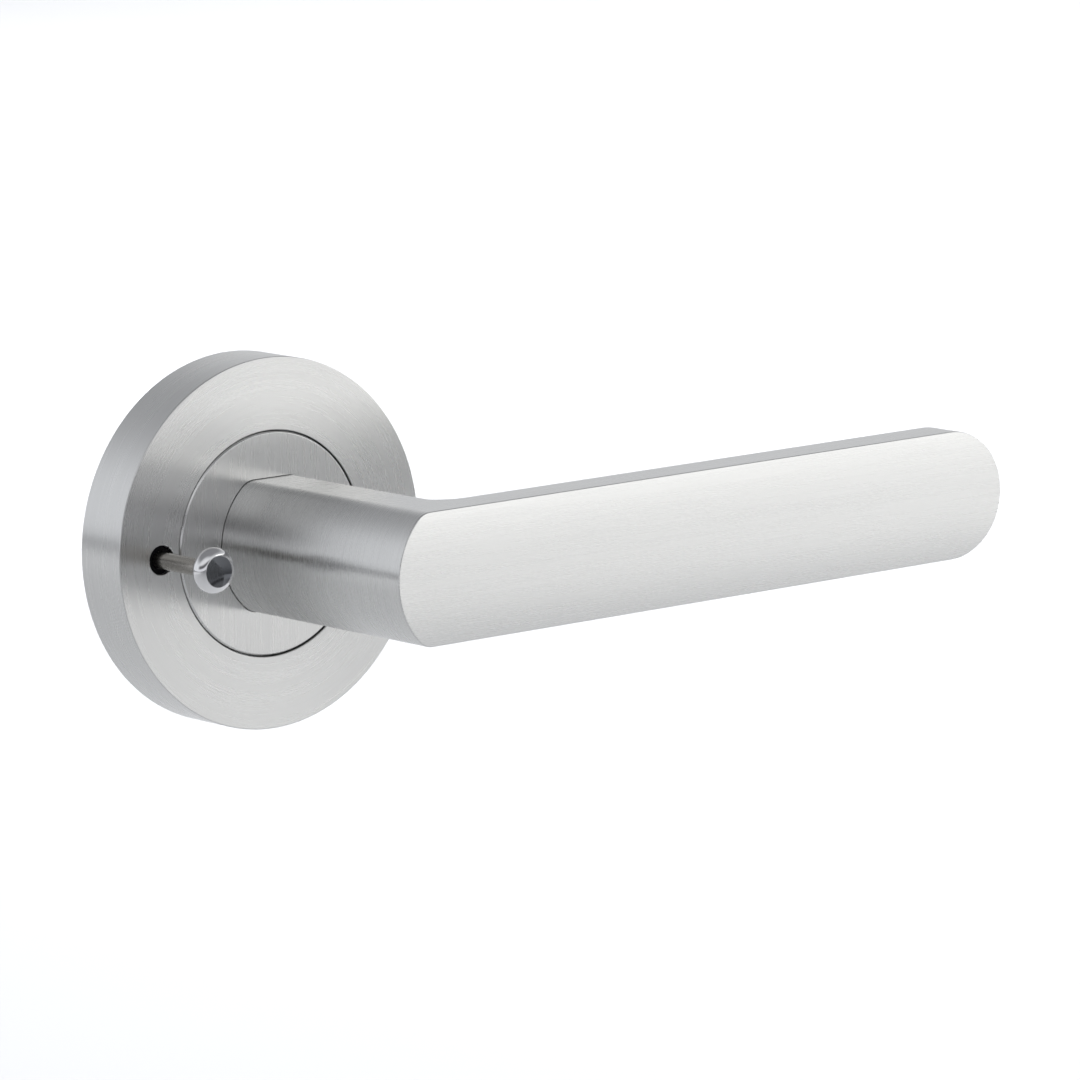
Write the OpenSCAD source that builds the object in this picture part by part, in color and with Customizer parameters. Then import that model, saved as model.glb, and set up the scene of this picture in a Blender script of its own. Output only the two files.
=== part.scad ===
// Door lever handle on a round rose, with a push-in privacy pin.
// +X runs along the lever, -Y points out of the door, +Z is up.
// The origin is where the spindle's axis crosses the door's face.
// "Out" below means a distance out of the door, so it is minus Y.

/* [Rose] */
// Outer radius of the rose cover
rose_r = 32.5; // [31:0.5:36]
// Distance from the door's face to the rose's front face
rose_h = 11; // [11:0.5:12]
// Thickness of the cover's wall and front plate
cover_t = 1.5; // [1.2:0.1:1.5]
// Chamfer on the cover's front edge
rose_chamfer = 0.25; // [0.1:0.05:0.5]
// Radius of the turning disc around the neck
disc_r = 19.6; // [19:0.1:20]
// Gap between the disc and the cover
disc_gap = 0.2; // [0.15:0.05:0.4]

/* [Lever] */
// Height of the blade and of the neck
blade_h = 23; // [21:0.5:24]
// Distance from the door's face to the crown of the blade
reach = 60; // [52:1:70]
// Distance from the spindle's axis to the tip of the blade
tip_x = 126.5; // [100:0.5:140]
// Thickness of the blade at its crown
blade_t = 8; // [7:0.5:10]
// How far the middle of the blade's front stands proud of its edges
crown = 0.45; // [0.2:0.05:1]
// Half width of the neck, across the lever
neck_w = 10.7; // [10.4:0.1:11]
// Radius of the neck's bowed sides
neck_bow_r = 14; // [13:0.5:16]
// Radius of the neck's corners
neck_corner_r = 4; // [3:0.5:5]
// Radius of the fillet between the neck and the back of the blade
inner_fillet_r = 4; // [3:0.5:6]

/* [Spindle and fixings] */
// Side of the square spindle
spindle_w = 8; // [8:8]
// How far the spindle reaches into the door
spindle_in = 30; // [20:1:60]
// How far the spindle reaches into the neck
spindle_out = 36; // [28:1:40]
// Distance between the two fixing posts
post_spacing = 38; // [38:38]
// Radius of a fixing post
post_r = 4; // [4:4]
// How far a fixing post reaches into the door
post_in = 12; // [11:1:15]
// Radius of the tapped hole in a post, before threading
post_tap_r = 1.65; // [1.65:1.65]
// Depth of the tapped hole from the post's tail
post_tap_depth = 5.5; // [4:0.5:5.5]
// Radius of the wood screw holes in the mounting plate
screw_hole_r = 2.1; // [1.8:0.1:2.4]
// Diameter of the circle that the wood screw holes lie on
screw_pcd = 50; // [49:0.5:51]

/* [Turning parts] */
// Radius of the round spigot that turns in the bush
spigot_r = 7; // [6.8:0.1:7.2]
// Running clearance on the radius
run_gap = 0.04; // [0.02:0.01:0.08]
// How far the lever turns each way before its stop
turn = 45.2; // [45.2:45.2]
// Radius of the return spring's wire
spring_wire_r = 0.6; // [0.4:0.1:0.6]
// Mean radius of the return spring
spring_r = 12.4; // [12.4:0.1:12.6]

/* [Privacy pin] */
// Distance from the spindle's axis to the pin's axis
pin_x = 23.5; // [23.5:0.25:24.5]
// Radius of the pin
pin_r = 1.5; // [1.3:0.1:1.6]
// Radius of the hole in the rose
pin_hole_r = 2.55; // [2.5:0.05:2.8]
// Radius of the button
knob_r = 4; // [3.5:0.25:4.5]
// Thickness of the button
knob_t = 3.4; // [3.2:0.1:4]
// Distance from the door's face to the button's front
knob_out = 27.3; // [26:0.1:32]
// How far the pin pushes in
pin_travel = 6; // [3:0.5:6]
// How far the pin's tail reaches into the door
pin_tail = 8.5; // [6:0.5:12]

/* [Hidden] */
$fn = 96;

half_h = blade_h / 2;
edge_out = reach - crown;              // front edges of the blade
back_out = reach - blade_t;            // back of the blade
crown_r = half_h * half_h / (2 * crown) + crown / 2;
// centres of the neck's corner arcs, tangent to the bowed sides inside them
corner_z = half_h - neck_corner_r;
bow_x = neck_bow_r - neck_w;           // centre of the left bow
corner_x = sqrt(pow(neck_bow_r - neck_corner_r, 2) - pow(corner_z, 2)) - bow_x;
// where bow and corner arcs meet
meet = [corner_x + bow_x, corner_z] / (neck_bow_r - neck_corner_r);
meet_x = meet[0] * neck_bow_r - bow_x;
meet_z = meet[1] * neck_bow_r;
hair = 0.005;

over = 1;                              // how far a cutting shape runs past what it cuts
sink = 0.5;                            // how far joined shapes run into each other
fit = 0.05;                            // gap between parts that are put together once

web_t = 1.6;                           // mounting plate
rim_t = 3.4;
rim_in_r = 28.5;
plate_r = 30.6;
pilot_r = 1;                           // holes for the rivets' shanks
pilot_out = 4.2;
ring_out = 1.7;                        // snap ring and its two grooves
ring_r = 30.75;
ring_wire_r = 0.5;
ring_ends = 20;                        // angle between the ring's ends
groove_half = 0.6;
plate_groove = 0.5;
cover_groove = 0.35;
post_head_r = 5.2;                     // fixing posts, relieved under the head
post_head_t = 1.4;
post_relief = 0.4;
boss_r = 11.6;                         // centre boss and bearing bush
boss_out = 5.3;
bush_r = 9;
flange_r = 11;
flange_out = 5.95;
counter_r = 10.8;
counter_d = 2.4;
cam_out = [6.05, 7.2];                 // spring cam
hub_r = 11.4;
lug_x = [14.2, 16.8];
lug_half = 1.5;
lug_gap = 0.3;
tab_r = 18.5;
tab_half = 3;                          // half width of the stop tab
key_r = 8.4;                           // keyed part of the spigot
key_flat = 7.2;
shoulder_out = 9;
groove_out = [0.7, 1.8];               // circlip's groove in the spigot
groove_r = spigot_r - 0.6;
clip_out = [0.75, 1.75];               // circlip
clip_r = 8.4;
eye = [2.3, 8.3];
eye_r = 0.5;
washer_out = [1.85, 2.35];             // thrust washer
washer_r = 10.6;
disc_back = 9.2;                       // collar disc
grub_out = 20;                         // grub screw
grub_r = 2.5;
grub_tip_r = 1.7;
grub_end = 10;
grub_key_depth = 2.5;
spindle_tip_r = 4.9;                   // spindle's chamfered ends
spindle_corner_r = 5.9;
post_x = 19;                           // spring post's pitch
pillar_out = 7.4;
pillar_r = 1.55;
stop_pitch = 17.5;
stop_r = 2.2;
stop_angle = 180 - turn - asin((tab_half + stop_r) / stop_pitch);
retainer_r = 21.2;                     // retainer plate and its rivets
retainer_t = 0.8;
rivet_in = 4.4;
rivet_r = 0.95;
rivet_head_r = 1.45;
rivet_seat = pillar_out + retainer_t;
leg_z = 2.2;                           // half distance between the spring's legs
leg_end = 20.9;
leg_start = 17;
housing_r = 3.5;                       // pin's housing
housing_in = 5;
housing_floor = 1;
housing_gap = 2.1;                     // from the housing's mouth to the rose's front
rib_r = 4.4;
rib_t = 0.8;
chamber_r = 2.6;
bush_flange_r = 3.4;                   // pin's bush
bush_back = 2.05;
bush_sunk = 0.8;
clip_groove_r = 1.1;                   // e-clip and its groove in the pin
clip_groove_out = [8.2, 8.9];
clip_t = 0.6;
coil_r = 2.1;                          // pin's spring
coil_wire_r = 0.25;
knob_back = knob_out - knob_t;
knob_bore = 2;                         // depth of the rod's hole in the button
dish_r = 8;                            // hollow in the button's front
dish_d = 0.5;

// --- shared shapes ---

// A solid of revolution about the Y direction; points are [radius, out]
module turned(points, x = 0, z = 0)
  translate([x, 0, z]) rotate([90, 0, 0]) rotate_extrude() polygon(points);

// A round bar from one distance out to another
module bar(r, from, to, x = 0, z = 0)
  translate([x, -from, z]) rotate([90, 0, 0]) cylinder(r = r, h = to - from);

// A flat outline in X and Z, from one distance out to another
module slab(from, to)
  translate([0, -from, 0]) rotate([90, 0, 0]) linear_extrude(to - from) children();

// Puts its children at the three pillars that carry the retainer plate
module at_pillars() {
  translate([post_x, 0, 0]) children();
  for (a = [stop_angle, -stop_angle])
    translate([stop_pitch * cos(a), 0, stop_pitch * sin(a)]) children();
}

// Left half of the neck's outline, grown by g: bowed side, flat top and bottom,
// round corners. The corner circles stand a hair proud of the lines they run into.
module left_half(g = 0) {
  translate([-corner_x, -half_h - g]) square([corner_x, blade_h + 2 * g]);
  intersection() {
    translate([bow_x, 0]) circle(neck_bow_r + g, $fn = 192);
    translate([-neck_w - 1, -meet_z]) square([neck_w + 1, 2 * meet_z]);
  }
  for (s = [1, -1]) translate([-corner_x, s * corner_z]) circle(neck_corner_r + hair + g);
}

// The neck's outline, grown by g; its right side is a plain bow between the flats
module barrel(g = 0) {
  left_half(g);
  intersection() {
    translate([-bow_x, 0]) circle(neck_bow_r + g, $fn = 192);
    translate([-1, -half_h - g]) square([neck_w + 2, blade_h + 2 * g]);
  }
}

// The blade before its front is crowned: the neck's bowed end on the left, half round on the right
module blade_block() {
  slab(back_out, reach + 1) left_half();
  translate([-0.5, -reach - 1, -half_h]) cube([tip_x - half_h + 0.5, blade_t + 1, blade_h]);
  intersection() {
    bar(half_h, back_out, reach + 1, tip_x - half_h);
    translate([tip_x - half_h, -reach - 2, -blade_h]) cube([blade_h, blade_t + 4, 2 * blade_h]);
  }
}

// The fillet where the neck's bowed inner side meets the back of the blade:
// a concave ring around the bow, cut off level with the flats
module inner_fillet()
  intersection() {
    translate([-bow_x, 0, 0]) rotate([90, 0, 0]) rotate([0, 0, -70]) rotate_extrude(angle = 140, $fn = 192)
      difference() {
        translate([neck_bow_r - 1, back_out - inner_fillet_r]) square([inner_fillet_r + 1, inner_fillet_r + 0.5]);
        translate([neck_bow_r + inner_fillet_r, back_out - inner_fillet_r]) circle(inner_fillet_r + hair);
      }
    translate([0, -reach, -half_h]) cube([40, reach, blade_h]);
  }

// A tube swept along a path, with n sides; up is a vector never along the path
function unit(v) = v / norm(v);
function tangent(p, i) = unit(p[min(i + 1, len(p) - 1)] - p[max(i - 1, 0)]);
module tube(p, r, n = 10, up = [0, 1, 0]) {
  rings = [for (i = [0:len(p) - 1])
    let (t = tangent(p, i), u = unit(cross(t, up)), v = cross(t, u))
    for (k = [0:n - 1]) p[i] + r * (cos(360 * k / n) * u + sin(360 * k / n) * v)];
  sides = [for (i = [0:len(p) - 2], k = [0:n - 1])
    [i * n + k, i * n + (k + 1) % n, (i + 1) * n + (k + 1) % n, (i + 1) * n + k]];
  first = [for (k = [n - 1:-1:0]) k];
  last = [for (k = [0:n - 1]) (len(p) - 1) * n + k];
  polyhedron(rings, concat([first], sides, [last]), convexity = 10);
}

// --- parts that stay with the door ---

// Cup-shaped cover: a turned shell with the disc's opening and the pin's hole
module rose_cover() color([0.75, 0.75, 0.76])
  difference() {
    turned([[rose_r - cover_t, 0], [rose_r, 0], [rose_r, rose_h - rose_chamfer],
      [rose_r - rose_chamfer, rose_h], [disc_r + disc_gap, rose_h],
      [disc_r + disc_gap, rose_h - cover_t], [rose_r - cover_t, rose_h - cover_t],
      [rose_r - cover_t, ring_out + groove_half],
      [rose_r - cover_t + cover_groove, ring_out + groove_half],
      [rose_r - cover_t + cover_groove, ring_out - groove_half],
      [rose_r - cover_t, ring_out - groove_half]]);
    bar(pin_hole_r, rose_h - cover_t - over, rose_h + over, -pin_x);
  }

// Base plate: web, rim with the ring's groove, centre boss and three pillars
module mounting_plate() color([0.62, 0.63, 0.65])
  difference() {
    union() {
      turned([[bush_r, 0], [plate_r, 0], [plate_r, ring_out - groove_half],
        [plate_r - plate_groove, ring_out - groove_half],
        [plate_r - plate_groove, ring_out + groove_half],
        [plate_r, ring_out + groove_half], [plate_r, rim_t], [rim_in_r, rim_t],
        [rim_in_r, web_t], [boss_r, web_t], [boss_r, boss_out], [bush_r, boss_out]]);
      translate([post_x, 0, 0]) bar(pillar_r, web_t - sink, pillar_out);
      for (a = [stop_angle, -stop_angle])
        bar(stop_r, web_t - sink, pillar_out, stop_pitch * cos(a), stop_pitch * sin(a));
    }
    bar(counter_r, -over, counter_d);
    for (s = [1, -1]) bar(post_r + fit, -over, web_t + over, 0, s * post_spacing / 2);
    bar(housing_r + fit, -over, web_t + over, -pin_x);
    for (a = [45, 225])
      bar(screw_hole_r, -over, web_t + over, screw_pcd / 2 * cos(a), screw_pcd / 2 * sin(a));
    at_pillars() bar(pilot_r, pilot_out, pillar_out + over);
  }

// Open wire ring between the cover and the plate
module cover_snap_ring() color([0.55, 0.55, 0.57])
  rotate([90, 0, 0]) rotate([0, 0, ring_ends / 2 - 90]) rotate_extrude(angle = 360 - ring_ends)
    translate([ring_r, ring_out]) circle(ring_wire_r, $fn = 24);

// A post with a flat head on the plate, a relieved neck in the plate's hole
// and a tapped hole in its tail
module fixing_post(z) color([0.6, 0.6, 0.62])
  difference() {
    union() {
      bar(post_r, -post_in, fit, 0, z);
      bar(post_r - post_relief, -sink, web_t + sink, 0, z);
      bar(post_head_r, web_t, web_t + post_head_t, 0, z);
    }
    bar(post_tap_r, -post_in - over, post_tap_depth - post_in, 0, z);
  }
module fixing_post_upper() fixing_post(post_spacing / 2);
module fixing_post_lower() fixing_post(-post_spacing / 2);

// Flanged bush pressed in the plate's boss
module bearing_bush() color([0.9, 0.89, 0.85])
  turned([[spigot_r + run_gap, counter_d], [bush_r, counter_d], [bush_r, boss_out],
    [flange_r, boss_out], [flange_r, flange_out], [spigot_r + run_gap, flange_out]]);

// Torsion spring: two coils around the boss and two parallel legs along +X
module return_spring() color([0.5, 0.5, 0.52]) {
  low = web_t + spring_wire_r + 0.1;
  high = cam_out[0] - spring_wire_r - 0.15;
  bend = leg_z;
  c = spring_r + bend;
  turns = 2;
  steps = 30;
  path = concat(
    [[leg_end, -low, -bend], [leg_start, -low, -bend]],
    [for (k = [0:4]) [c - bend * sin(22.5 * k), -low, -bend * cos(22.5 * k)]],
    [for (i = [1:turns * steps - 1]) let (f = i / (turns * steps))
      [spring_r * cos(360 * turns * f), -low - (high - low) * f, spring_r * sin(360 * turns * f)]],
    [for (k = [4:-1:0]) [c - bend * sin(22.5 * k), -high, bend * cos(22.5 * k)]],
    [[leg_start, -high, bend], [leg_end, -high, bend]]);
  tube(path, spring_wire_r, 10);
}

// Flat plate over the cam and the spring
module retainer_plate() color([0.7, 0.7, 0.7])
  difference() {
    bar(retainer_r, pillar_out, pillar_out + retainer_t);
    bar(key_r + 0.5, 0, rose_h);
    bar(rib_r + 0.2, 0, rose_h, -pin_x);
    at_pillars() bar(pilot_r + fit, 0, rose_h);
  }

// Three rivets that hold the retainer plate on the pillars
module retainer_rivets() color([0.65, 0.6, 0.5])
  at_pillars() turned([[0, rivet_in], [rivet_r, rivet_in], [rivet_r, rivet_seat],
    [rivet_head_r, rivet_seat], [rivet_head_r, rivet_seat + 0.35],
    [rivet_head_r - 0.25, rivet_seat + 0.55], [0, rivet_seat + 0.55]]);

// Plastic sleeve that guides the pin and holds its spring
module pin_housing() color([0.05, 0.05, 0.05])
  turned([[pin_r + fit, -housing_in], [housing_r, -housing_in], [housing_r, web_t + fit],
    [rib_r, web_t + fit], [rib_r, web_t + rib_t], [housing_r, web_t + rib_t],
    [housing_r, rose_h - housing_gap], [chamber_r, rose_h - housing_gap],
    [chamber_r, housing_floor - housing_in], [pin_r + fit, housing_floor - housing_in]], -pin_x);

// Flanged bush behind the rose's pin hole
module pin_bush() color([0.03, 0.03, 0.03])
  turned([[pin_r + run_gap, rose_h - bush_back], [bush_flange_r, rose_h - bush_back],
    [bush_flange_r, rose_h - cover_t - fit], [pin_hole_r - fit, rose_h - cover_t - fit],
    [pin_hole_r - fit, rose_h - bush_sunk], [pin_r + run_gap, rose_h - bush_sunk]], -pin_x);

// --- parts that turn with the lever ---

// Neck, blade and spigot in one piece, with the spindle's socket
module lever() color([0.82, 0.82, 0.82])
  difference() {
    union() {
      slab(shoulder_out, back_out) barrel();
      intersection() {
        blade_block();
        translate([-20, crown_r - reach, 0]) rotate([0, 90, 0]) cylinder(r = crown_r, h = tip_x + 40, $fn = 720);
      }
      inner_fillet();
      intersection() {
        bar(key_r, cam_out[0] - fit, shoulder_out);
        translate([-key_r - over, -rose_h, -key_flat]) cube([2 * (key_r + over), rose_h, 2 * key_flat]);
      }
      turned([[0, 0.3], [spigot_r - 0.3, 0.3], [spigot_r, 0.6], [spigot_r, groove_out[0]],
        [groove_r, groove_out[0]], [groove_r, groove_out[1]], [spigot_r, groove_out[1]],
        [spigot_r, cam_out[0] - fit], [0, cam_out[0] - fit]]);
    }
    translate([-spindle_w / 2 - fit, -spindle_out - 0.2, -spindle_w / 2 - fit])
      cube([spindle_w + 2 * fit, spindle_out + over, spindle_w + 2 * fit]);
    translate([0, -grub_out, -half_h - over]) cylinder(r = grub_r + fit, h = half_h + over);
  }

// Disc around the neck, flush with the rose
module collar_disc() color([0.72, 0.72, 0.74])
  difference() {
    turned([[0, disc_back], [disc_r - 0.2, disc_back], [disc_r, disc_back + 0.2],
      [disc_r, rose_h - 0.35], [disc_r - 0.35, rose_h], [0, rose_h]]);
    slab(0, rose_h + over) barrel(run_gap);
  }

// Cam plate: keyed hub, arm with the spring lug, and the stop tab
module spring_cam() color([0.68, 0.66, 0.6])
  difference() {
    union() {
      bar(hub_r, cam_out[0], cam_out[1]);
      translate([0, -cam_out[1], -lug_half]) cube([lug_x[1], cam_out[1] - cam_out[0], 2 * lug_half]);
      translate([lug_x[0], -cam_out[1], -lug_half])
        cube([lug_x[1] - lug_x[0], cam_out[1] - web_t - lug_gap, 2 * lug_half]);
      intersection() {
        translate([-tab_r - over, -cam_out[1], -tab_half])
          cube([tab_r + over, cam_out[1] - cam_out[0], 2 * tab_half]);
        bar(tab_r, 0, rose_h);
      }
    }
    intersection() {
      bar(key_r + fit, 0, rose_h);
      translate([-key_r - over, -rose_h, -key_flat - fit])
        cube([2 * (key_r + over), rose_h, 2 * (key_flat + fit)]);
    }
  }

// Flat washer between the bush and the circlip
module thrust_washer() color([0.6, 0.6, 0.62])
  turned([[spigot_r + 0.06, washer_out[0]], [washer_r, washer_out[0]],
    [washer_r, washer_out[1]], [spigot_r + 0.06, washer_out[1]]]);

// Open external ring in the spigot's groove, with two eyes
module circlip() color([0.35, 0.35, 0.37])
  slab(clip_out[0], clip_out[1]) difference() {
    union() {
      circle(clip_r);
      for (s = [1, -1]) translate([s * eye[0], eye[1] - 0.3]) circle(eye_r + 0.8, $fn = 32);
    }
    circle(groove_r + 0.03);
    translate([-1, clip_r / 2]) square([2, clip_r]);
    for (s = [1, -1]) translate([s * eye[0], eye[1]]) circle(eye_r, $fn = 24);
  }

// Square bar with chamfered ends
module spindle() color([0.65, 0.65, 0.67])
  intersection() {
    translate([-spindle_w / 2, -spindle_out, -spindle_w / 2])
      cube([spindle_w, spindle_out + spindle_in, spindle_w]);
    turned([[0, -spindle_in], [spindle_tip_r, -spindle_in], [spindle_corner_r, 1 - spindle_in],
      [spindle_corner_r, spindle_out - 1], [spindle_tip_r, spindle_out], [0, spindle_out]]);
  }

// Set screw in the neck's underside, its tip on the spindle
module grub_screw() color([0.3, 0.3, 0.32])
  translate([0, -grub_out, 0]) difference() {
    rotate_extrude() polygon([[0, -spindle_w / 2], [grub_tip_r, -spindle_w / 2],
      [grub_r, grub_tip_r - grub_r - spindle_w / 2], [grub_r, 0.2 - grub_end],
      [grub_r - 0.2, -grub_end], [0, -grub_end]]);
    translate([0, 0, -grub_end - over])
      cylinder(r = 2.5 / sqrt(3), h = grub_key_depth + over, $fn = 6);
  }

// --- parts that slide with the pin ---

// Thin rod with the clip's groove and a rounded tail
module privacy_pin() color([0.7, 0.69, 0.67])
  turned([[0, -pin_tail], [pin_r - 0.5, -pin_tail], [pin_r, 0.5 - pin_tail],
    [pin_r, clip_groove_out[0]], [clip_groove_r, clip_groove_out[0]],
    [clip_groove_r, clip_groove_out[1]], [pin_r, clip_groove_out[1]],
    [pin_r, knob_back + knob_bore - 0.3], [pin_r - 0.2, knob_back + knob_bore - 0.1],
    [0, knob_back + knob_bore - 0.1]], -pin_x);

// Button: full round rim, dished front, blind hole for the rod
module privacy_knob() color([0.85, 0.85, 0.86])
  translate([-pin_x, 0, 0]) rotate([90, 0, 0]) difference() {
    rotate_extrude() {
      translate([0, knob_back]) square([knob_r - knob_t / 2, knob_t]);
      intersection() {
        translate([knob_r - knob_t / 2, knob_back + knob_t / 2]) circle(knob_t / 2, $fn = 64);
        translate([knob_r - knob_t / 2, knob_back - over]) square([knob_t, knob_t + 2 * over]);
      }
    }
    translate([0, 0, knob_out - dish_d + dish_r]) sphere(dish_r, $fn = 192);
    translate([0, 0, knob_back - over]) cylinder(r = pin_r + 0.03, h = knob_bore + over);
  }

// E-clip in the pin's groove
module pin_e_clip() color([0.4, 0.4, 0.42])
  translate([-pin_x, 0, 0]) slab(clip_groove_out[0] + fit, clip_groove_out[0] + fit + clip_t) difference() {
    circle(chamber_r - 0.15);
    circle(clip_groove_r + 0.03, $fn = 48);
    translate([0, -0.9]) square([4, 1.8]);
  }

// Compression spring in the housing's chamber
module pin_return_spring() color([0.55, 0.55, 0.57]) {
  low = housing_floor - housing_in + coil_wire_r + fit;
  high = clip_groove_out[0] - coil_wire_r;
  turns = 8;
  steps = 20;
  n = turns * steps;
  path = [for (i = [0:n]) let (a = 360 * i / steps, f = i / n)
    [coil_r * cos(a) - pin_x, -low - (high - low) * f, coil_r * sin(a)]];
  tube(path, coil_wire_r, 8);
}

rose_cover();
mounting_plate();
cover_snap_ring();
fixing_post_upper();
fixing_post_lower();
bearing_bush();
return_spring();
retainer_plate();
retainer_rivets();
pin_housing();
pin_bush();
lever();
collar_disc();
spring_cam();
thrust_washer();
circlip();
spindle();
grub_screw();
privacy_pin();
privacy_knob();
pin_e_clip();
pin_return_spring();
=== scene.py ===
"""Looks for the door lever handle: a satin steel lever on a round rose, with a privacy pin.

The row frame is the CAD model's: +X along the lever, -Y out of the door, +Z up, and the
origin where the spindle's axis crosses the door's face. "Out" is a distance out of the
door, so it is minus Y. Shape functions work in millimetres, and MM turns them into metres.
"""

import math

import bmesh
import bpy
from mathutils import Matrix, Vector


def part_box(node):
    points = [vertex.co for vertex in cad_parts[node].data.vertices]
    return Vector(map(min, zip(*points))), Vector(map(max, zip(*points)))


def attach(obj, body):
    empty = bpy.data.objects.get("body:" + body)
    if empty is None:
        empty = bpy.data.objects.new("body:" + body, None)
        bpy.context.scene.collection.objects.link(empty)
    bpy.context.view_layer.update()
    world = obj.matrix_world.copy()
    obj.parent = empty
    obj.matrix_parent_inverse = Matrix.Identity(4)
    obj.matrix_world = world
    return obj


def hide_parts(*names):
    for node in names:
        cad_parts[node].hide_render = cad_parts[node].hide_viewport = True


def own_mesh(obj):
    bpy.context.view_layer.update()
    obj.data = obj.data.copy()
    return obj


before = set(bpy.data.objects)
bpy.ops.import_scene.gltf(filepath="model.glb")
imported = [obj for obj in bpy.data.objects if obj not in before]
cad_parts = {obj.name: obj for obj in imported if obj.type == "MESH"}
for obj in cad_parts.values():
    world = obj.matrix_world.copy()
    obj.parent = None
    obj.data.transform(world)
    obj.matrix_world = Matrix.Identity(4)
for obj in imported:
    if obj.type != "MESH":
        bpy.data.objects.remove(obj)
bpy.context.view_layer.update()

MM = 0.001

# Camera: the photograph's viewing angle
AZIMUTH = -39.327
ELEVATION = 9.670
ROLL = -1.200
DISTANCE = 1.31993
TARGET = Vector((0.069102, 0.0, -0.009288))
LENS = 244.21
SENSOR = 36.0


def box_mm(node):
    """Lowest and highest corner of a CAD node, in millimetres."""
    low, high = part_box(node)
    return low / MM, high / MM


# Driving dimensions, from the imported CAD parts
rose_low, rose_high = box_mm("rose_cover")
ROSE_R = rose_high.x
ROSE_H = -rose_low.y
COVER_T = 1.5
DISC_R = box_mm("collar_disc")[1].x
DISC_BACK = -box_mm("collar_disc")[1].y
DISC_GAP = 0.2
lever_low, lever_high = box_mm("lever")
HALF_H = lever_high.z
TIP_X = lever_high.x
REACH = -lever_low.y
NECK_W = -lever_low.x
BLADE_T = 8.0
CROWN = 0.45
BOW_R = 14.0
CORNER_R = 4.0
FILLET_R = 4.0
SHOULDER = 9.0  # where the neck's full outline starts
NECK_GAP = 0.07  # line between the neck and the disc
SPINDLE_HALF = box_mm("spindle")[1].x
SPINDLE_OUT = -box_mm("spindle")[0].y
SPIGOT_R = 7.0
SPIGOT_STEP_R = 8.4
SPIGOT_STEP_OUT = 6.0
GRUB_OUT = 20.0
GRUB_HOLE_R = 2.55
RING_OUT = (1.1, 2.3)  # the snap ring's groove inside the cover
RING_GROOVE_D = 0.35
knob_low, knob_high = box_mm("privacy_knob")
KNOB_R = knob_high.z
KNOB_T = knob_high.y - knob_low.y
KNOB_OUT = -knob_low.y
PIN_X = (knob_low.x + knob_high.x) / 2
PIN_R = box_mm("privacy_pin")[1].z
PIN_HOLE_R = 2.55
PIN_CHAMFER = 0.5
CLIP_OUT = (8.2, 8.9)  # the E-clip's groove in the pin
CLIP_GROOVE_R = 1.1
BUSH_FLANGE_R = 3.4
BUSH_FLANGE_T = 0.5
BUSH_SET_BACK = 0.8  # from the rose's face to the end of the bush
KNOB_BACK = KNOB_OUT - KNOB_T
KNOB_BORE = 2.0
SPRING_WIRE_R = 0.25
SPRING_TURNS = 8
DISH_R = 8.0
DISH_D = 0.5
DISH_EDGE = math.sqrt(2 * DISH_R * DISH_D - DISH_D**2)  # radius of the hollow's rim

EDGE = 0.18  # radius of a broken edge on the satin parts


# --- mesh helpers ---


def new_piece(name, mesh):
    """Links a mesh to the scene as a piece."""
    piece = bpy.data.objects.new(name, mesh)
    bpy.context.scene.collection.objects.link(piece)
    return piece


def from_bmesh(name, bm, merge=0.002):
    """Merges doubled points, turns the faces outward, and makes a piece of millimetre data."""
    bmesh.ops.remove_doubles(bm, verts=bm.verts, dist=merge)
    bmesh.ops.recalc_face_normals(bm, faces=bm.faces)
    bmesh.ops.scale(bm, vec=(MM, MM, MM), verts=bm.verts)
    mesh = bpy.data.meshes.new(name)
    bm.to_mesh(mesh)
    bm.free()
    return new_piece(name, mesh)


def add_grid(bm, rows, closed=False):
    """Faces between rows of points of equal length; closed joins each row's ends."""
    made = [[bm.verts.new(p) for p in row] for row in rows]
    count = len(rows[0])
    for lower, upper in zip(made, made[1:]):
        for i in range(count if closed else count - 1):
            j = (i + 1) % count
            bm.faces.new((lower[i], lower[j], upper[j], upper[i]))


def arc(cx, cy, radius, start, end, steps):
    """Points along an arc; angles in degrees."""
    angles = [math.radians(start + (end - start) * i / steps) for i in range(steps + 1)]
    return [(cx + radius * math.cos(a), cy + radius * math.sin(a)) for a in angles]


def lathe(name, profile, x=0.0, sides=96):
    """A closed profile of [radius, out] points turned about the Y direction."""
    bm = bmesh.new()
    rows = []
    for radius, out in profile + profile[:1]:
        ring = arc(x, 0, radius, 0, 360 - 360 / sides, sides - 1)
        rows.append([(px, -out, pz) for px, pz in ring])
    for row, following, (r0, _), (r1, _) in zip(
        rows, rows[1:], profile, profile[1:] + profile[:1]
    ):
        if r0 > 0 and r1 > 0:
            add_grid(bm, [row, following], closed=True)
        elif r0 > 0 or r1 > 0:
            ring, pole = (row, following[0]) if r0 > 0 else (following, row[0])
            centre = bm.verts.new(pole)
            points = [bm.verts.new(p) for p in ring]
            for i in range(sides):
                bm.faces.new((points[i], points[(i + 1) % sides], centre))
    return from_bmesh(name, bm)


def prism(name, outline, low, high):
    """An outline in X and Z, from one distance out to another."""
    bm = bmesh.new()
    rows = [[(x, -out, z) for x, z in outline] for out in (low, high)]
    add_grid(bm, rows, closed=True)
    for row in rows:
        bm.faces.new([bm.verts.new(p) for p in row])
    return from_bmesh(name, bm)


def block(name, low, high):
    """A box between two corners, in X, out and Z."""
    (x0, out0, z0), (x1, out1, z1) = low, high
    return prism(name, [(x0, z0), (x1, z0), (x1, z1), (x0, z1)], out0, out1)


def rod(name, radius, low, high, x, sides):
    """A round bar along Y."""
    return lathe(name, [(0, low), (radius, low), (radius, high), (0, high)], x, sides)


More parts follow.
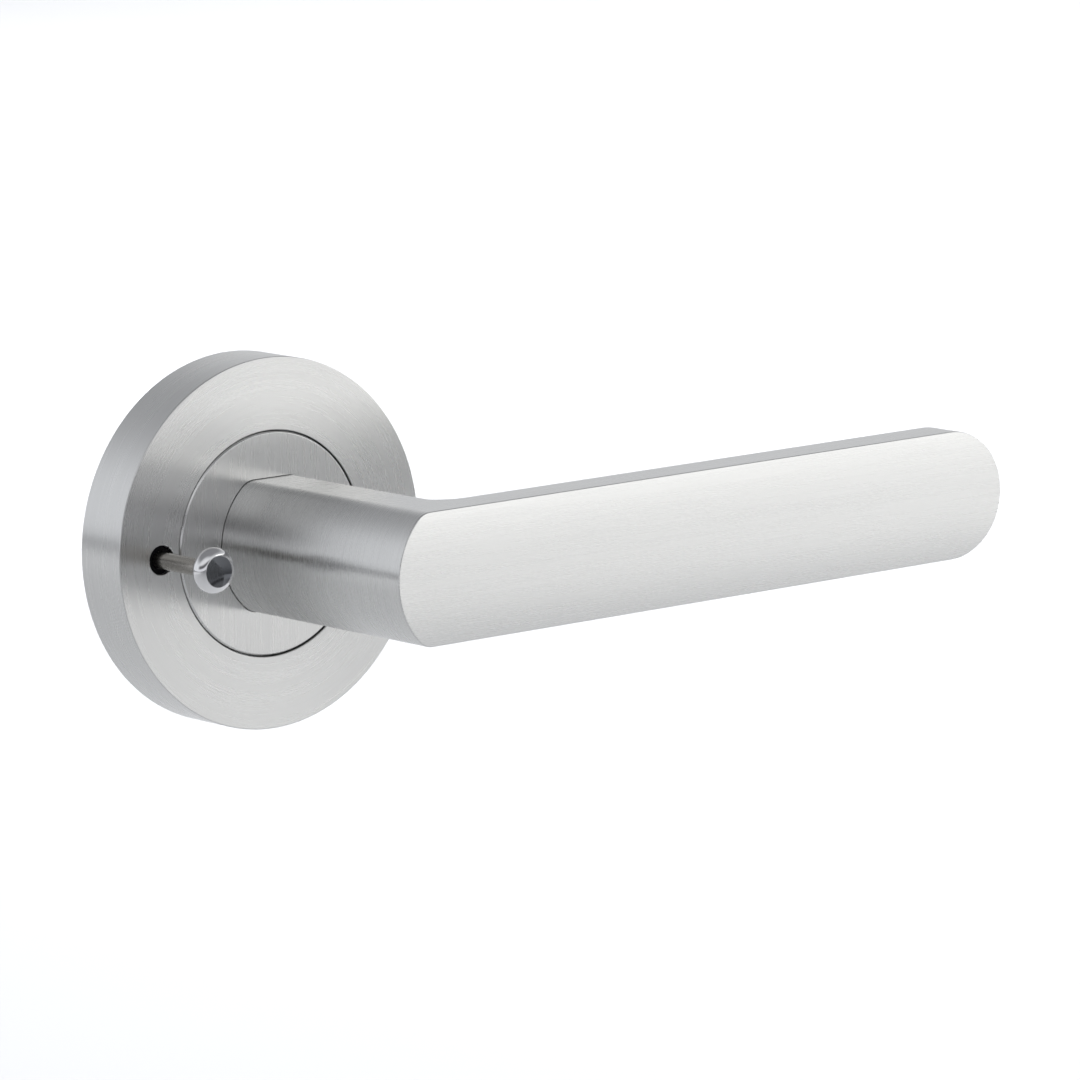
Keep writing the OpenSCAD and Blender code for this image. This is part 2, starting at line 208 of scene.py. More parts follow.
def bake(piece):
    """Replaces a piece's mesh with its evaluated one, modifiers applied."""
    graph = bpy.context.evaluated_depsgraph_get()
    mesh = bpy.data.meshes.new_from_object(piece.evaluated_get(graph))
    piece.modifiers.clear()
    piece.data = mesh


def cut_out(piece, *tools):
    """Cuts the tools out of a piece and removes them."""
    for tool in tools:
        cut = piece.modifiers.new("cut", "BOOLEAN")
        cut.operation = "DIFFERENCE"
        cut.solver = "EXACT"
        cut.object = tool
    bpy.context.view_layer.update()
    bake(piece)
    for tool in tools:
        bpy.data.objects.remove(tool)


def soften(piece, width=EDGE, segments=3, angle=28):
    """Smooth shading with every edge sharper than the angle broken by a small radius."""
    for face in piece.data.polygons:
        face.use_smooth = True
    bevel = piece.modifiers.new("broken_edges", "BEVEL")
    bevel.width = width * MM
    bevel.segments = segments
    bevel.limit_method = "ANGLE"
    bevel.angle_limit = math.radians(angle)
    bevel.use_clamp_overlap = False
    bevel.miter_outer = "MITER_ARC"
    bevel.harden_normals = True
    return piece


def place(piece, body, slot, material, *nodes):
    """Gives a piece its body and its material, and hides the CAD nodes it stands for; slot is not used.
    """
    piece.data.materials.clear()
    piece.data.materials.append(material)
    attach(piece, body)
    if nodes:
        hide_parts(*nodes)
    return piece


# --- shader helpers ---


def add_node(tree, kind, *inputs, **settings):
    """Adds a shader node. Inputs go in by position, as sockets or values; None leaves one alone."""
    made = tree.nodes.new(kind)
    for key, value in settings.items():
        setattr(made, key, value)
    for socket, value in zip(made.inputs, inputs):
        if isinstance(value, bpy.types.NodeSocket):
            tree.links.new(value, socket)
        elif value is not None:
            socket.default_value = value
    return made


def maths(tree, operation, *inputs):
    return add_node(tree, "ShaderNodeMath", *inputs, operation=operation).outputs[0]


def weighted(tree, first, share, second):
    """A share of the first value and the rest of the second."""
    rest = maths(tree, "MULTIPLY", second, 1 - share)
    return maths(tree, "ADD", maths(tree, "MULTIPLY", first, share), rest)


def vectors(tree, operation, *inputs):
    made = add_node(tree, "ShaderNodeVectorMath", *inputs, operation=operation)
    return made.outputs["Value" if operation in ("LENGTH", "DOT_PRODUCT") else "Vector"]


def spread(tree, value, low, high, to_low=0.0, to_high=1.0, smooth=False):
    """Maps a value from one range to another, clamped."""
    made = add_node(tree, "ShaderNodeMapRange", value, low, high, to_low, to_high)
    if smooth:
        made.interpolation_type = "SMOOTHSTEP"
    return made.outputs[0]


def blend(tree, data_type, first_socket, share, first, second):
    """A Mix node: the first value where share is 0, the second where it is 1."""
    made = tree.nodes.new("ShaderNodeMix")
    made.data_type = data_type
    sockets = (made.inputs[0], made.inputs[first_socket], made.inputs[first_socket + 1])
    for socket, value in zip(sockets, (share, first, second)):
        if isinstance(value, bpy.types.NodeSocket):
            tree.links.new(value, socket)
        else:
            socket.default_value = value
    return made


def blend_colours(tree, share, first, second):
    first, second = (v if isinstance(v, bpy.types.NodeSocket) else (*v, 1.0) for v in (first, second))
    return blend(tree, "RGBA", 6, share, first, second).outputs[2]


def blend_vectors(tree, share, first, second):
    return blend(tree, "VECTOR", 4, share, first, second).outputs[1]


def position_mm(tree):
    """A point's place in the piece's own space, in millimetres."""
    metres = tree.nodes.new("ShaderNodeTexCoord").outputs["Object"]
    scaled = add_node(tree, "ShaderNodeVectorMath", metres, None, None, 1 / MM, operation="SCALE")
    return scaled.outputs[0]


def normal_own(tree):
    """The surface's direction in the piece's own space."""
    facing = tree.nodes.new("ShaderNodeNewGeometry").outputs["Normal"]
    return add_node(
        tree, "ShaderNodeVectorTransform", facing,
        vector_type="NORMAL", convert_from="WORLD", convert_to="OBJECT",
    ).outputs[0]


def to_world(tree, vector):
    return add_node(
        tree, "ShaderNodeVectorTransform", vector,
        vector_type="VECTOR", convert_from="OBJECT", convert_to="WORLD",
    ).outputs[0]


def material(name):
    """An empty node material with its Principled shader."""
    made = bpy.data.materials.new(name)
    made.use_nodes = True
    shader = made.node_tree.nodes["Principled BSDF"]
    return made, made.node_tree, shader


# --- how the brushing runs: (direction of the grooves, coordinates for the grain) ---


RING_RUN = 30.0  # radius at which the turned grain's length is measured


def grain_turned(tree):
    """Rings about the Y direction, through the part's own axis."""
    place_socket = position_mm(tree)
    parts = add_node(tree, "ShaderNodeSeparateXYZ", place_socket).outputs
    flat = add_node(tree, "ShaderNodeCombineXYZ", parts[0], 0.0, parts[2]).outputs[0]
    radius = vectors(tree, "LENGTH", flat)
    along = add_node(
        tree, "ShaderNodeCombineXYZ", parts[2], 0.0, maths(tree, "MULTIPLY", parts[0], -1.0)
    ).outputs[0]
    spoke = add_node(tree, "ShaderNodeSeparateXYZ", vectors(tree, "NORMALIZE", flat)).outputs
    across = maths(tree, "ADD", radius, parts[1])
    coords = add_node(
        tree, "ShaderNodeCombineXYZ",
        maths(tree, "MULTIPLY", spoke[0], RING_RUN), across, maths(tree, "MULTIPLY", spoke[2], RING_RUN),
    ).outputs[0]
    return vectors(tree, "NORMALIZE", along), coords


def grain_straight(direction):
    """Straight grooves along one axis: "X" or "Z"."""

    def made(tree):
        parts = add_node(tree, "ShaderNodeSeparateXYZ", position_mm(tree)).outputs
        first, second = (parts[0], parts[2]) if direction == "X" else (parts[2], parts[0])
        coords = add_node(
            tree, "ShaderNodeCombineXYZ", first, maths(tree, "ADD", second, parts[1]), 0.0
        ).outputs[0]
        along = add_node(tree, "ShaderNodeCombineXYZ").outputs[0]
        along.node.inputs[direction].default_value = 1.0
        return along, coords

    return made


def grain_lever(tree):
    """Round the neck and the edges of the blade, and lengthwise on the blade's two faces."""
    facing = normal_own(tree)
    facing_parts = add_node(tree, "ShaderNodeSeparateXYZ", facing).outputs
    on_face = spread(tree, maths(tree, "ABSOLUTE", facing_parts[1]), 0.6, 0.8)
    round_wall = vectors(tree, "NORMALIZE", vectors(tree, "CROSS_PRODUCT", facing, (0.0, 1.0, 0.0)))
    along = blend_vectors(tree, on_face, round_wall, (1.0, 0.0, 0.0))
    parts = add_node(tree, "ShaderNodeSeparateXYZ", position_mm(tree)).outputs
    wall_coords = add_node(
        tree, "ShaderNodeCombineXYZ", maths(tree, "ADD", parts[0], parts[2]), parts[1], 7.0
    ).outputs[0]
    face_coords = add_node(tree, "ShaderNodeCombineXYZ", parts[0], parts[2], 0.0).outputs[0]
    return along, blend_vectors(tree, on_face, wall_coords, face_coords)


# noise cells in a millimetre: along the grooves, across them, and along
FINE_GRAIN = (0.05, 4.0, 0.05)
BROAD_GRAIN = (0.015, 0.6, 0.015)


def brushed(name, grain, colour, roughness, anisotropy=0.7, tone=0.02, depth=0.00001):
    """Satin metal: fine grooves in colour, roughness and height, stretched along the grain."""
    made, tree, shader = material(name)
    along, coords = grain(tree)
    fine_coords = vectors(tree, "MULTIPLY", coords, FINE_GRAIN)
    fine = add_node(tree, "ShaderNodeTexNoise", fine_coords, None, 1.0, 3.0, 0.65).outputs[0]
    broad_coords = vectors(tree, "MULTIPLY", coords, BROAD_GRAIN)
    broad = add_node(tree, "ShaderNodeTexNoise", broad_coords, None, 1.0, 2.0, 0.5).outputs[0]
    mixed = weighted(tree, fine, 0.65, broad)
    level = spread(tree, mixed, 0.32, 0.68)
    darker = tuple(c * (1 - tone) for c in colour)
    lighter = tuple(min(1.0, c * (1 + tone)) for c in colour)
    tree.links.new(blend_colours(tree, level, darker, lighter), shader.inputs["Base Color"])
    rough = spread(tree, level, 0.0, 1.0, roughness + 0.02, roughness - 0.02)
    tree.links.new(rough, shader.inputs["Roughness"])
    bump = add_node(tree, "ShaderNodeBump", 0.5, 1.0)
    bump.inputs["Distance"].default_value = depth * MM
    tree.links.new(mixed, bump.inputs["Height"])
    tree.links.new(bump.outputs[0], shader.inputs["Normal"])
    tree.links.new(to_world(tree, along), shader.inputs["Tangent"])
    shader.inputs["Metallic"].default_value = 1.0
    shader.inputs["Anisotropic"].default_value = anisotropy
    shader.inputs["Anisotropic Rotation"].default_value = 0.25
    return made


def polished_button(name, colour, dish_shade_colour, roughness):
    """Bright plated metal whose hollow front carries painted shade: a dark base colour in the dish."""
    made, tree, shader = material(name)
    coords = position_mm(tree)
    haze = add_node(tree, "ShaderNodeTexNoise", coords, None, 1.4, 3.0, 0.5).outputs[0]
    gloss = spread(tree, haze, 0.35, 0.75, roughness * 0.7, roughness * 1.6)
    tree.links.new(gloss, shader.inputs["Roughness"])
    parts = add_node(tree, "ShaderNodeSeparateXYZ", coords).outputs
    away = add_node(
        tree, "ShaderNodeCombineXYZ", maths(tree, "SUBTRACT", parts[0], PIN_X), 0.0, parts[2]
    ).outputs[0]
    # painted shade: the dish on the knob's front gets a dark base colour in place of the dark
    # reflections a chrome hollow shows
    dish_shade_mask = spread(tree, vectors(tree, "LENGTH", away), DISH_EDGE - 0.15, DISH_EDGE, 1.0, 0.0)
    middle = KNOB_T / 2 - KNOB_OUT
    at_front = spread(tree, parts[1], middle, middle + 0.1, 1.0, 0.0)
    bright = blend_colours(tree, haze, tuple(c * 0.97 for c in colour), colour)
    dark = blend_colours(tree, haze, tuple(c * 0.85 for c in dish_shade_colour), dish_shade_colour)
    share = maths(tree, "MULTIPLY", dish_shade_mask, at_front)
    tree.links.new(blend_colours(tree, share, bright, dark), shader.inputs["Base Color"])
    shader.inputs["Metallic"].default_value = 1.0
    return made


def rough_metal(name, colour, roughness, grain_size=3.0, depth=0.01, blotch=0.18):
    """Plated or cast metal on the working parts: mottled colour, uneven gloss and a light grain."""
    made, tree, shader = material(name)
    coords = position_mm(tree)
    cloud = add_node(tree, "ShaderNodeTexNoise", coords, None, 0.35, 4.0, 0.6).outputs[0]
    speck = add_node(tree, "ShaderNodeTexNoise", coords, None, grain_size, 3.0, 0.6).outputs[0]
    both = weighted(tree, cloud, 0.6, speck)
    level = spread(tree, both, 0.35, 0.65)
    darker = tuple(c * (1 - blotch) for c in colour)
    lighter = tuple(min(1.0, c * (1 + blotch)) for c in colour)
    tree.links.new(blend_colours(tree, level, darker, lighter), shader.inputs["Base Color"])
    tree.links.new(
        spread(tree, speck, 0.3, 0.7, roughness - 0.06, roughness + 0.08), shader.inputs["Roughness"]
    )
    bump = add_node(tree, "ShaderNodeBump", 0.4, 1.0)
    bump.inputs["Distance"].default_value = depth * MM
    tree.links.new(speck, bump.inputs["Height"])
    tree.links.new(bump.outputs[0], shader.inputs["Normal"])
    shader.inputs["Metallic"].default_value = 1.0
    return made


def plastic(name, colour, roughness, specular=0.4):
    """Moulded plastic: fine matt grain and slightly uneven tone."""
    made, tree, shader = material(name)
    coords = position_mm(tree)
    speck = add_node(tree, "ShaderNodeTexNoise", coords, None, 6.0, 3.0, 0.6).outputs[0]
    cloud = add_node(tree, "ShaderNodeTexNoise", coords, None, 0.5, 2.0, 0.5).outputs[0]
    darker = tuple(c * 0.85 for c in colour)
    lighter = tuple(min(1.0, c * 1.15) for c in colour)
    tree.links.new(blend_colours(tree, cloud, darker, lighter), shader.inputs["Base Color"])
    gloss = spread(tree, speck, 0.3, 0.7, roughness - 0.05, roughness + 0.05)
    tree.links.new(gloss, shader.inputs["Roughness"])
    bump = add_node(tree, "ShaderNodeBump", 0.3, 1.0)
    bump.inputs["Distance"].default_value = 0.01 * MM
    tree.links.new(speck, bump.inputs["Height"])
    tree.links.new(bump.outputs[0], shader.inputs["Normal"])
    shader.inputs["Specular IOR Level"].default_value = specular
    return made


STEEL = (0.62, 0.62, 0.612)
ROSE_SATIN = brushed("rose_satin_steel", grain_turned, STEEL, 0.28)
DISC_SATIN = brushed("disc_satin_steel", grain_straight("Z"), STEEL, 0.28)
LEVER_SATIN = brushed("lever_satin_steel", grain_lever, STEEL, 0.27)
PIN_SATIN = rough_metal("pin_drawn_steel", (0.36, 0.345, 0.32), 0.26, 5.0, 0.0005, 0.04)
# the second colour is painted shade for the knob's dished front
CHROME = polished_button("knob_chrome", (0.72, 0.72, 0.725), (0.15, 0.155, 0.165), 0.09)
ZINC = rough_metal("zinc_plate", (0.55, 0.57, 0.60), 0.38, 3.0, 0.006, 0.10)
POST_STEEL = rough_metal("post_steel", (0.56, 0.56, 0.57), 0.30, 4.0, 0.004, 0.06)
SPRING_STEEL = rough_metal("spring_wire", (0.42, 0.42, 0.44), 0.25, 5.0, 0.003, 0.1)
DARK_STEEL = rough_metal("black_oxide_steel", (0.10, 0.10, 0.11), 0.35)
CAM_STEEL = rough_metal("cam_yellow_passivate", (0.55, 0.50, 0.36), 0.35)
RIVET_BRASS = rough_metal("rivet_brass", (0.70, 0.53, 0.25), 0.28)
BLACK_PLASTIC = plastic("black_nylon", (0.004, 0.004, 0.0045), 0.6, 0.08)
BUSH_NYLON = plastic("white_acetal", (0.80, 0.79, 0.74), 0.38)


# --- the lever's outline, in X and Z ---

BOW_X = BOW_R - NECK_W
CORNER_Z = HALF_H - CORNER_R
CORNER_X = math.sqrt((BOW_R - CORNER_R) ** 2 - CORNER_Z**2) - BOW_X
MEET = math.degrees(math.atan2(CORNER_Z, -(CORNER_X + BOW_X)))
BLADE_BACK = REACH - BLADE_T
TIP_CENTRE = TIP_X - HALF_H


def left_side():
    """The bowed side with its two round corners, from the top flat to the bottom flat."""
    top = arc(-CORNER_X, CORNER_Z, CORNER_R, 90, MEET, 18)
    bow = arc(BOW_X, 0, BOW_R, MEET, 360 - MEET, 48)
    bottom = arc(-CORNER_X, -CORNER_Z, CORNER_R, 360 - MEET, 270, 18)
    return top + bow[1:-1] + bottom


def right_bow(radius):
    """The neck's plain right side, or a larger bow about the same centre, between the flats."""
    half = math.degrees(math.asin(HALF_H / radius))
    return arc(-BOW_X, 0, radius, half, -half, 40)


def front_out(z):
    """Distance out of the crowned front at a height."""
    return REACH - CROWN * abs(z / HALF_H) ** 3


def lever_body():
    """Neck and blade in one closed skin of matching patches."""
    bm = bmesh.new()
    left = left_side()
    tip = arc(TIP_CENTRE, 0, HALF_H, -90, 90, 96)
    runs = 30
    line = [-CORNER_X + (TIP_CENTRE + CORNER_X) * i / runs for i in range(runs + 1)]
    neck_outs = [SHOULDER, 20, 34, BLADE_BACK - FILLET_R]  # rows of points along the neck
    wall_outs = neck_outs + [BLADE_BACK]

    def front_row(points):
        return [(x, -front_out(z), z) for x, z in points]

    add_grid(bm, [[(x, -out, z) for x, z in left] for out in wall_outs] + [front_row(left)])
    add_grid(bm, [[(x, -BLADE_BACK, z) for x, z in tip], front_row(tip)])

    # crowned front: rings that shrink to the blade's middle line
    outline = left + [(x, -HALF_H) for x in line[1:-1]] + tip + [(x, HALF_H) for x in line[-2:0:-1]]
    rings = []
    for share in (0.0, 0.06, 0.14, 0.25, 0.4, 0.55, 0.7, 0.85, 1.0):
        ring = []
        for x, z in outline:
            middle = min(max(x, 0.0), TIP_CENTRE)
            ring.append((x + (middle - x) * share, z * (1 - share)))
        rings.append(front_row(ring))
    add_grid(bm, rings, closed=True)

    # neck's right side and the fillet that runs out into the blade's back
    neck_bow = right_bow(BOW_R)
    add_grid(bm, [[(x, -out, z) for x, z in neck_bow] for out in neck_outs])
    fillet = []
    for t in range(0, 91, 6):
        radius = BOW_R + FILLET_R * (1 - math.cos(math.radians(t)))
        out = BLADE_BACK - FILLET_R * (1 - math.sin(math.radians(t)))
        fillet.append([(x, -out, z) for x, z in right_bow(radius)])
    add_grid(bm, fillet)

    # flats, back of the blade and the neck's foot
    fillet_end = fillet[-1][0][0]
    back_line = [x for x in line if x > fillet_end + 0.5]
    for end, side in ((0, 1), (-1, -1)):
        flat = [(-CORNER_X, -out, side * HALF_H) for out in wall_outs]
        flat += [(x, -front_out(HALF_H), side * HALF_H) for x in line]
        flat += [(x, -BLADE_BACK, side * HALF_H) for x in reversed(back_line)]
        flat += [row[end] for row in reversed(fillet)]
        flat += [(neck_bow[end][0], -out, side * HALF_H) for out in reversed(neck_outs[:-1])]
        bm.faces.new([bm.verts.new(p) for p in flat])
    back = list(fillet[-1])
    back += [(x, -BLADE_BACK, -HALF_H) for x in back_line[:-1]]
    back += [(x, -BLADE_BACK, z) for x, z in tip]
    back += [(x, -BLADE_BACK, HALF_H) for x in reversed(back_line[:-1])]
    bm.faces.new([bm.verts.new(p) for p in back])
    foot = [(x, -SHOULDER, z) for x, z in left + list(reversed(neck_bow))]
    bm.faces.new([bm.verts.new(p) for p in foot])
    return from_bmesh("lever_skin", bm)


def make_lever():
    """The skin with the spindle's socket and the grub screw's hole, and the spigot behind it."""
    body = lever_body()
    half = SPINDLE_HALF + 0.05
    socket = block("socket", (-half, SHOULDER - 1, -half), (half, SPINDLE_OUT + 0.2, half))
    hole = rod("grub_hole", GRUB_HOLE_R, 0, HALF_H + 1 - SPINDLE_HALF, 0, 48)
    hole.data.transform(Matrix.Rotation(math.radians(90), 4, "X"))
    hole.data.transform(Matrix.Translation((0, -GRUB_OUT * MM, -SPINDLE_HALF * MM)))
    cut_out(body, socket, hole)
    soften(body)
    place(body, "lever", "lever_satin", LEVER_SATIN, "lever")

    groove_r = SPIGOT_R - 0.6
    spigot = lathe("lever_spigot", [
        (0, 0.3), (SPIGOT_R - 0.3, 0.3), (SPIGOT_R, 0.6), (SPIGOT_R, 0.7), (groove_r, 0.7),
        (groove_r, 1.8), (SPIGOT_R, 1.8), (SPIGOT_R, SPIGOT_STEP_OUT), (SPIGOT_STEP_R, SPIGOT_STEP_OUT),
        (SPIGOT_STEP_R, SHOULDER), (0, SHOULDER),
    ], sides=128)
    cut_out(spigot, block("socket", (-half, -1, -half), (half, SHOULDER + 1, half)))
    soften(spigot, 0.08, 2)
    place(spigot, "lever", "lever_satin", POST_STEEL, "lever")


def barrel(grown):
    """The neck's whole outline, grown outward."""
    points = left_side() + list(reversed(right_bow(BOW_R)))
    made = []
    for x, z in points:
        scale = 1 + grown / max(math.hypot(x, z), 1)
        made.append((x * scale, z * scale))
    return made


def make_disc():
    """Flush disc around the neck."""
    disc = lathe("collar_disc_skin", [
        (0, DISC_BACK), (DISC_R - 0.2, DISC_BACK), (DISC_R, DISC_BACK + 0.2),
        (DISC_R, ROSE_H - 0.3), (DISC_R - 0.3, ROSE_H), (0, ROSE_H),
    ], sides=256)
    cut_out(disc, prism("neck_hole", barrel(NECK_GAP), DISC_BACK - 1, ROSE_H + 1))
    soften(disc, 0.08, 2, 25)
    place(disc, "lever", "disc_satin", DISC_SATIN, "collar_disc")


def make_rose():
    """Cup-shaped cover with its pin hole and the groove for the snap ring."""
    inner = ROSE_R - COVER_T
    groove = inner + RING_GROOVE_D
    cover = lathe("rose_cover_skin", [
        (inner, 0), (ROSE_R, 0), (ROSE_R, ROSE_H), (DISC_R + DISC_GAP, ROSE_H),
        (DISC_R + DISC_GAP, ROSE_H - COVER_T), (inner, ROSE_H - COVER_T),
        (inner, RING_OUT[1]), (groove, RING_OUT[1]), (groove, RING_OUT[0]), (inner, RING_OUT[0]),
    ], sides=256)
    cut_out(cover, rod("pin_hole", PIN_HOLE_R, ROSE_H - COVER_T - 1, ROSE_H + 1, PIN_X, 64))
    soften(cover)
    place(cover, "rose", "rose_satin", ROSE_SATIN, "rose_cover")


def make_knob():
    """Button with a full round rim and a dished front."""
    rim_r = KNOB_T / 2
    rim_centre = KNOB_R - rim_r
    dish_centre = KNOB_OUT - DISH_D + DISH_R
    rim = []
    for radius, out in arc(rim_centre, KNOB_OUT - rim_r, rim_r, -90, 90, 60):
        if math.hypot(radius, dish_centre - out) > DISH_R:
            rim.append((radius, out))
    edge = rim[-1][0] - 0.02
    steps = 14
    dish = []
    for i in range(steps + 1):
        radius = edge * (1 - i / steps)
        dish.append((radius, dish_centre - math.sqrt(DISH_R**2 - radius**2)))
    bore = PIN_R + 0.03
    bore_end = KNOB_BACK + KNOB_BORE
    profile = [(0, bore_end), (bore, bore_end), (bore, KNOB_BACK)] + rim + dish
    knob = lathe("privacy_knob_skin", profile, PIN_X, 160)
    soften(knob, 0.05, 2, 15)
    place(knob, "pin", "knob_polished", CHROME, "privacy_knob")


def make_pin():
    """Rod with the clip's groove, and the bush that guides it behind the rose."""
    tail = -box_mm("privacy_pin")[1].y
    tip = -box_mm("privacy_pin")[0].y
    pin = lathe("privacy_pin_skin", [
        (0, tail), (PIN_R - PIN_CHAMFER, tail), (PIN_R, tail + PIN_CHAMFER),
        (PIN_R, CLIP_OUT[0]), (CLIP_GROOVE_R, CLIP_OUT[0]), (CLIP_GROOVE_R, CLIP_OUT[1]),
        (PIN_R, CLIP_OUT[1]), (PIN_R, tip - 0.2), (PIN_R - 0.2, tip), (0, tip),
    ], PIN_X)
    soften(pin, 0.06, 2)
    place(pin, "pin", "pin_satin", PIN_SATIN, "privacy_pin")
    bore = PIN_R + 0.04
    nose = PIN_HOLE_R - 0.05
    flange_front = ROSE_H - COVER_T - 0.05
    flange_back = flange_front - BUSH_FLANGE_T
    nose_front = ROSE_H - BUSH_SET_BACK
    bush = lathe("pin_bush_skin", [
        (bore, flange_back), (BUSH_FLANGE_R, flange_back), (BUSH_FLANGE_R, flange_front),
        (nose, flange_front), (nose, nose_front), (bore, nose_front),
    ], PIN_X)
    soften(bush, 0.1, 2)
    place(bush, "rose", "black_plastic", BLACK_PLASTIC, "pin_bush")


def make_pin_spring():
    """Compression spring in the housing, with closed ends; the real one shortens as the pin goes in,
    this mesh keeps one length.
    """
    box_low, box_high = box_mm("pin_return_spring")
    seat, top = -box_high.y + SPRING_WIRE_R, -box_low.y - SPRING_WIRE_R
    coil_r = box_high.z - SPRING_WIRE_R
    closed = SPRING_WIRE_R * 2.1  # rise of a closed end turn
    pitch = (top - seat - 2 * closed) / (SPRING_TURNS - 2)
    sides = 12
    steps = 28
    rings = []
    for i in range(SPRING_TURNS * steps + 1):
        turn = i / steps
        first, last = min(turn, 1), max(turn - SPRING_TURNS + 1, 0)
        out = seat + closed * (first + last) + pitch * (turn - first - last)
        angle = 2 * math.pi * turn
        spoke = Vector((math.cos(angle), 0, math.sin(angle)))
        centre = Vector((PIN_X, -out, 0)) + spoke * coil_r
        ring = arc(0, 0, SPRING_WIRE_R, 0, 360 - 360 / sides, sides - 1)
        rings.append([centre + spoke * u + Vector((0, v, 0)) for u, v in ring])
    bm = bmesh.new()
    add_grid(bm, rings, closed=True)
    for ring in (rings[0], rings[-1]):
        bm.faces.new([bm.verts.new(p) for p in ring])
    spring = from_bmesh("pin_spring_coil", bm)
    soften(spring, 0.04, 2, 50)
    bake(spring)
    place(spring, "rose", "spring_steel", SPRING_STEEL, "pin_return_spring")
    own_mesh(spring)


CAD_LOOKS = {
    "mounting_plate": ZINC,
    "cover_snap_ring": SPRING_STEEL,
    "fixing_post_upper": POST_STEEL,
    "fixing_post_lower": POST_STEEL,
    "bearing_bush": BUSH_NYLON,
    "return_spring": SPRING_STEEL,
    "retainer_plate": ZINC,
    "retainer_rivets": RIVET_BRASS,
    "pin_housing": BLACK_PLASTIC,
    "spring_cam": CAM_STEEL,
    "thrust_washer": POST_STEEL,
    "circlip": DARK_STEEL,
    "spindle": POST_STEEL,
    "grub_screw": DARK_STEEL,
    "pin_e_clip": DARK_STEEL,
}


def dress_cad():
    """Materials for the CAD parts that stay as they are."""
    for name, look in CAD_LOOKS.items():
        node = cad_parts[name]
        node.data.materials.clear()
        node.data.materials.append(look)


# --- stage ---


FLOOR_Z = -0.5
FLOOR_HALF = 40.0


def make_camera():
    """Camera on the photograph's line of sight."""
    a, e, r = (math.radians(v) for v in (AZIMUTH, ELEVATION, ROLL))
    back = Vector((math.sin(a) * math.cos(e), -math.cos(a) * math.cos(e), math.sin(e)))
    right = Vector((math.cos(a), math.sin(a), 0))
    up = back.cross(right)
    rolled_right = right * math.cos(r) + up * math.sin(r)
    rolled_up = up * math.cos(r) - right * math.sin(r)
    data = bpy.data.cameras.new("camera")
    data.lens = LENS
    data.sensor_width = SENSOR
    data.clip_start = 0.05
    data.clip_end = 100
    camera = bpy.data.objects.new("camera", data)
    bpy.context.scene.collection.objects.link(camera)
    turn = Matrix((rolled_right, rolled_up, back)).transposed().to_4x4()
    camera.matrix_world = Matrix.Translation(TARGET + back * DISTANCE) @ turn
    bpy.context.scene.camera = camera


def make_floor():
    """A plain pale floor, well below the handle."""
    bm = bmesh.new()
    ends = (-FLOOR_HALF, FLOOR_HALF)
    add_grid(bm, [[(x, y, FLOOR_Z) for x in ends] for y in ends])
    mesh = bpy.data.meshes.new("floor")
    bm.to_mesh(mesh)
    bm.free()
    floor = new_piece("floor", mesh)
    made, tree, shader = material("pale_floor")
    spots = add_node(tree, "ShaderNodeTexNoise", position_mm(tree), None, 0.002, 2.0, 0.5).outputs[0]
    tree.links.new(
        blend_colours(tree, spots, (0.475, 0.48, 0.49), (0.495, 0.50, 0.51)), shader.inputs["Base Color"]
    )
    shader.inputs["Roughness"].default_value = 0.9
    shader.inputs["Specular IOR Level"].default_value = 0.1
    mesh.materials.append(made)


def soft_box(name, place_at, aim, width, height, power, colour=(1.0, 1.0, 1.0), on_metal=True):
    """A rectangular soft box. One that only lights the floor is flagged off from the metal."""
    data = bpy.data.lights.new(name, "AREA")
    data.shape = "RECTANGLE"
    data.size = width
    data.size_y = height
    data.energy = power
    data.color = colour
    lamp = bpy.data.objects.new(name, data)
    bpy.context.scene.collection.objects.link(lamp)
    lamp.location = place_at
    lamp.rotation_mode = "QUATERNION"
    lamp.rotation_quaternion = (Vector(aim) - Vector(place_at)).to_track_quat("-Z", "Y")
    lamp.visible_camera = False
    lamp.visible_glossy = on_metal


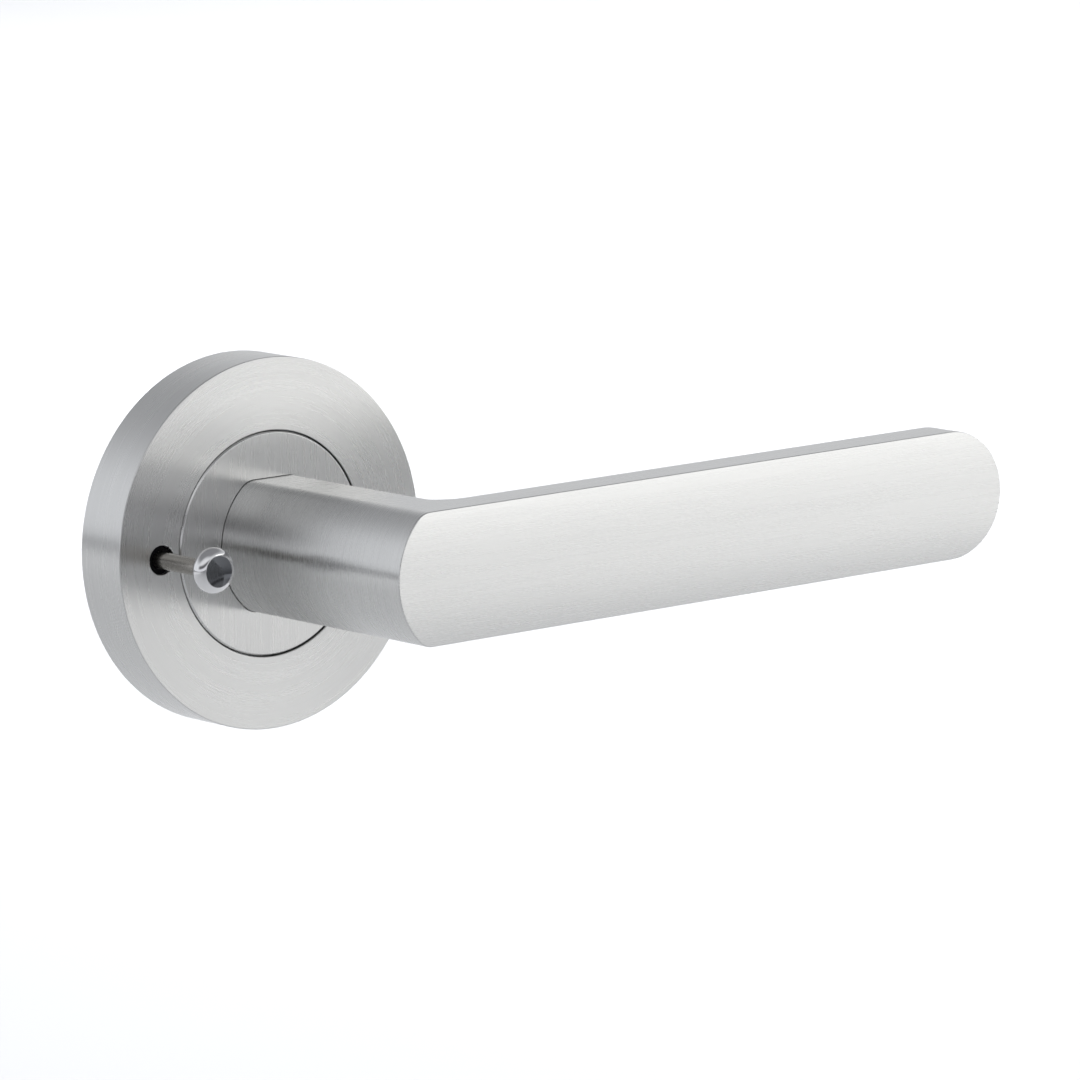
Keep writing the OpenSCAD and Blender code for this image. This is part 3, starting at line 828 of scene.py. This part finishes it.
def make_lights():
    """A standing soft box on the right in front, and three that light the floor."""
    soft_box("key", (1.26, -0.99, 0.23), (0, 0, 0.23), 1.36, 1.15, 4.75, (1.0, 0.99, 0.965))
    soft_box("floor_right", (3.3, 2.3, 2.0), (3.3, 2.3, FLOOR_Z), 5.0, 7.0, 362, on_metal=False)
    soft_box("floor_left", (-2.6, 2.9, 2.0), (-2.6, 2.9, FLOOR_Z), 3.0, 3.0, 74, on_metal=False)
    soft_box("floor_far_left", (-5.8, -0.3, 2.0), (-5.8, -0.3, FLOOR_Z), 4.0, 8.0, 235, on_metal=False)


def lobe(tree, direction, axis, low, high):
    """1 near a direction and 0 away from it, between two cosines."""
    cosine = vectors(tree, "DOT_PRODUCT", direction, Vector(axis).normalized())
    return spread(tree, cosine, low, high, smooth=True)


def make_world():
    """Studio walls: a light tent, paler on the right, dim and slightly blue on the left."""
    world = bpy.data.worlds.new("studio")
    bpy.context.scene.world = world
    world.use_nodes = True
    tree = world.node_tree
    direction = tree.nodes.new("ShaderNodeTexCoord").outputs["Generated"]
    height = add_node(tree, "ShaderNodeSeparateXYZ", direction).outputs[2]
    across = vectors(tree, "DOT_PRODUCT", direction, (1.0, 0.0, 0.0))
    rightness = spread(tree, across, -0.5, 0.7, smooth=True)
    walls = blend_colours(tree, rightness, (0.92, 0.94, 0.98), (0.83, 0.84, 0.86))
    ceiling = spread(tree, height, 0.35, 0.80, smooth=True)
    walls = blend_colours(tree, ceiling, walls, (0.28, 0.285, 0.30))
    # the tent's opening on the camera's side: pale along the horizon, dark above, then paler again
    opening = lobe(tree, direction, (-0.60, -0.78, 0.15), 0.50, 0.88)
    low = spread(tree, height, 0.10, 0.21, 1.0, 0.0, smooth=True)
    high = spread(tree, height, 0.30, 0.48, smooth=True)
    inside = blend_colours(tree, low, (0.155, 0.155, 0.165), (0.92, 0.93, 0.98))
    inside = blend_colours(tree, high, inside, (0.92, 0.93, 0.96))
    walls = blend_colours(tree, opening, walls, inside)
    below = spread(tree, height, -0.02, 0.0, 1.0, 0.0)
    colour = blend_colours(tree, below, walls, (0.95, 0.95, 0.95))
    tree.links.new(colour, tree.nodes["Background"].inputs["Color"])
    tree.nodes["Background"].inputs["Strength"].default_value = 1.0


make_camera()
make_lever()
make_disc()
make_rose()
make_knob()
make_pin()
make_pin_spring()
dress_cad()
make_floor()
make_lights()
make_world()
bpy.context.scene.view_settings.view_transform = "Standard"
